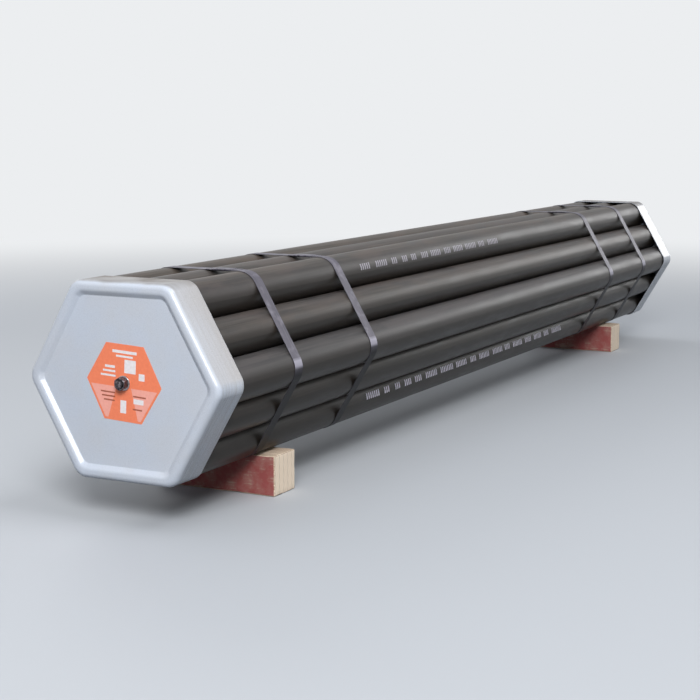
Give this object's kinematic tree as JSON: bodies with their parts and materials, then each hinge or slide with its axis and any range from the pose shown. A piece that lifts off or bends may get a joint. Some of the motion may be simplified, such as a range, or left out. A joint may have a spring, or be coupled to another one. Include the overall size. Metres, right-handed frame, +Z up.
{
  "type": "bundle of threaded drill rods",
  "caption": "Hexagonal bundle of long steel drill rods with pressed end caps, flat steel straps and timber bearers, for storing and lifting drilling stock.",
  "frame": {"origin": "on the floor under the middle of the bundle, midway between the caps", "axes": "+Y along the rods, away from the labelled cap; +Z up; +X across the bundle"},
  "size_m": [0.455, 3.092, 0.4902],
  "materials": {
    "rod_steel": "dark oiled mill finish, semi-gloss",
    "cap_sheet": "smooth silver paint on pressed sheet",
    "label_film": "printed orange label",
    "tie_steel": "zinc-plated",
    "strap_steel": "blued steel strap",
    "bearer_timber": "sawn softwood, long sides painted dark red"
  },
  "bodies": {
    "root": {"bearer_front": "bearer_timber", "bearer_rear": "bearer_timber", "cap_label": "label_film", "drill_rod_1_1": "rod_steel", "drill_rod_1_2": "rod_steel", "drill_rod_1_3": "rod_steel", "drill_rod_2_1": "rod_steel", "drill_rod_2_2": "rod_steel", "drill_rod_2_3": "rod_steel", "drill_rod_2_4": "rod_steel", "drill_rod_3_1": "rod_steel", "drill_rod_3_2": "rod_steel", "drill_rod_3_3": "rod_steel", "drill_rod_3_4": "rod_steel", "drill_rod_3_5": "rod_steel", "drill_rod_4_1": "rod_steel", "drill_rod_4_2": "rod_steel", "drill_rod_4_3": "rod_steel", "drill_rod_4_4": "rod_steel", "drill_rod_5_1": "rod_steel", "drill_rod_5_2": "rod_steel", "drill_rod_5_3": "rod_steel", "end_cap_front": "cap_sheet", "end_cap_rear": "cap_sheet", "strap_1": "strap_steel", "strap_2": "strap_steel", "strap_3": "strap_steel", "strap_4": "strap_steel", "strap_seal_1": "strap_steel", "strap_seal_2": "strap_steel", "strap_seal_3": "strap_steel", "strap_seal_4": "strap_steel", "tie_nuts": "tie_steel", "tie_rod": "tie_steel", "tie_washers": "tie_steel"}
  },
  "joints": []
}
